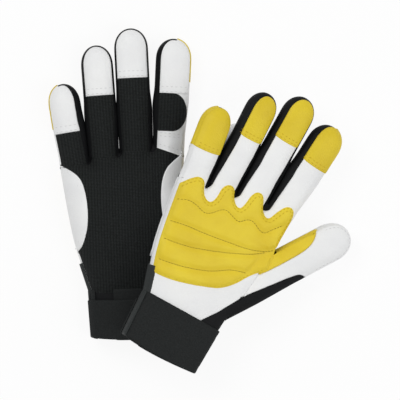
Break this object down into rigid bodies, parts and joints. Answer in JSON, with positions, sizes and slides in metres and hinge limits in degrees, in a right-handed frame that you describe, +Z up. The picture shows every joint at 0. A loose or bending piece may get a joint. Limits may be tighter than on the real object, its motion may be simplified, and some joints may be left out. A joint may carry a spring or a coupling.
{
  "type": "pair of work gloves",
  "caption": "Pair of leather work gloves with a padded palm, knit back, stretch finger sides and a hook-and-loop wrist tab, the right glove lying palm up on the left.",
  "frame": {"origin": "centre of the pair's box on the surface that it lies on", "axes": "+Z up, +Y towards the fingertips, +X towards the right glove"},
  "size_m": [0.2282, 0.2572, 0.0628],
  "materials": {
    "white_leather": "soft matte grain",
    "yellow_leather": "soft matte grain",
    "black_knit": "ribbed stretch knit",
    "black_spandex": "smooth stretch fabric",
    "neoprene": "fine matte cloth face",
    "hook_and_loop": "hook and loop pile"
  },
  "bodies": {
    "left_hand": {"left_palm_leather": "white_leather", "left_knit_back": "black_knit", "left_palm_patch": "yellow_leather", "left_cuff_band": "neoprene", "left_loop_pad": "hook_and_loop"},
    "left_index": {"left_index_back": "black_knit", "left_index_front": "white_leather", "left_index_tip_cap": "white_leather", "left_index_tip_patch": "yellow_leather", "left_index_fourchette": "black_spandex"},
    "left_middle": {"left_middle_back": "black_knit", "left_middle_front": "white_leather", "left_middle_tip_cap": "white_leather", "left_middle_tip_patch": "yellow_leather", "left_middle_fourchette": "black_spandex"},
    "left_ring": {"left_ring_back": "black_knit", "left_ring_front": "white_leather", "left_ring_tip_cap": "white_leather", "left_ring_tip_patch": "yellow_leather", "left_ring_fourchette": "black_spandex"},
    "left_little": {"left_little_back": "black_knit", "left_little_front": "white_leather", "left_little_tip_cap": "white_leather", "left_little_tip_patch": "yellow_leather", "left_little_fourchette": "black_spandex"},
    "left_thumb": {"left_thumb_front": "white_leather", "left_thumb_saddle": "yellow_leather", "left_thumb_back": "black_knit"},
    "left_tab": {"left_wrist_tab": "neoprene", "left_hook_pad": "hook_and_loop"},
    "right_hand": {"right_palm_leather": "white_leather", "right_knit_back": "black_knit", "right_palm_patch": "yellow_leather", "right_cuff_band": "neoprene", "right_loop_pad": "hook_and_loop"},
    "right_index": {"right_index_back": "black_knit", "right_index_front": "white_leather", "right_index_tip_cap": "white_leather", "right_index_tip_patch": "yellow_leather", "right_index_fourchette": "black_spandex"},
    "right_middle": {"right_middle_back": "black_knit", "right_middle_front": "white_leather", "right_middle_tip_cap": "white_leather", "right_middle_tip_patch": "yellow_leather", "right_middle_fourchette": "black_spandex"},
    "right_ring": {"right_ring_back": "black_knit", "right_ring_front": "white_leather", "right_ring_tip_cap": "white_leather", "right_ring_tip_patch": "yellow_leather", "right_ring_fourchette": "black_spandex"},
    "right_little": {"right_little_back": "black_knit", "right_little_front": "white_leather", "right_little_tip_cap": "white_leather", "right_little_tip_patch": "yellow_leather", "right_little_fourchette": "black_spandex"},
    "right_thumb": {"right_thumb_front": "white_leather", "right_thumb_saddle": "yellow_leather", "right_thumb_back": "black_knit"},
    "right_tab": {"right_wrist_tab": "neoprene", "right_hook_pad": "hook_and_loop"}
  },
  "joints": [
    {"name": "right_glove_lift", "type": "slide", "parent": "left_hand", "child": "right_hand", "axis": [0, 0, 1], "range_m": [0, 0.32]},
    {"name": "left_index_knuckle", "type": "hinge", "parent": "left_hand", "child": "left_index", "pos_m": [-0.02349, 0.0477, 0], "axis": [-0.999, 0.0454, 0], "range_deg": [0, 70]},
    {"name": "left_middle_knuckle", "type": "hinge", "parent": "left_hand", "child": "left_middle", "pos_m": [-0.04922, 0.04525, 0], "axis": [-0.9988, -0.0489, 0], "range_deg": [0, 70]},
    {"name": "left_ring_knuckle", "type": "hinge", "parent": "left_hand", "child": "left_ring", "pos_m": [-0.07341, 0.03874, 0], "axis": [-0.9971, -0.0767, 0], "range_deg": [0, 70]},
    {"name": "left_little_knuckle", "type": "hinge", "parent": "left_hand", "child": "left_little", "pos_m": [-0.09578, 0.03177, 0], "axis": [-0.9871, -0.1599, 0], "range_deg": [0, 70]},
    {"name": "left_thumb_base", "type": "hinge", "parent": "left_hand", "child": "left_thumb", "pos_m": [-0.01692, -0.02319, 0], "axis": [0.0755, 0.9971, 0], "range_deg": [0, 40]},
    {"name": "left_tab_peel", "type": "hinge", "parent": "left_hand", "child": "left_tab", "pos_m": [-0.08664, -0.08989, 0.01484], "axis": [0.0349, -0.9994, 0], "range_deg": [0, 150]},
    {"name": "right_index_knuckle", "type": "hinge", "parent": "right_hand", "child": "right_index", "pos_m": [0.06587, -0.00464, 0.03546], "axis": [0.7913, -0.5357, -0.2947], "range_deg": [0, 70]},
    {"name": "right_middle_knuckle", "type": "hinge", "parent": "right_hand", "child": "right_middle", "pos_m": [0.04377, 0.0062, 0.04331], "axis": [0.8234, -0.4819, -0.2997], "range_deg": [0, 70]},
    {"name": "right_ring_knuckle", "type": "hinge", "parent": "right_hand", "child": "right_ring", "pos_m": [0.02099, 0.01297, 0.05101], "axis": [0.8445, -0.4418, -0.3026], "range_deg": [0, 70]},
    {"name": "right_little_knuckle", "type": "hinge", "parent": "right_hand", "child": "right_little", "pos_m": [-0.00052, 0.01847, 0.05819], "axis": [0.8853, -0.3493, -0.3069], "range_deg": [0, 70]},
    {"name": "right_thumb_base", "type": "hinge", "parent": "right_hand", "child": "right_thumb", "pos_m": [0.03762, -0.06537, 0.03868], "axis": [-0.5668, -0.8176, 0.1013], "range_deg": [0, 40]},
    {"name": "right_tab_peel", "type": "hinge", "parent": "right_hand", "child": "right_tab", "pos_m": [-0.05575, -0.08453, 0.05032], "axis": [0.473, 0.8786, -0.0665], "range_deg": [0, 150]}
  ],
  "couplings": [
    {"joint": "left_tab_peel", "follows": "right_glove_lift", "rad_per_m": 8.1},
    {"joint": "right_tab_peel", "follows": "right_glove_lift", "rad_per_m": 8.1}
  ]
}
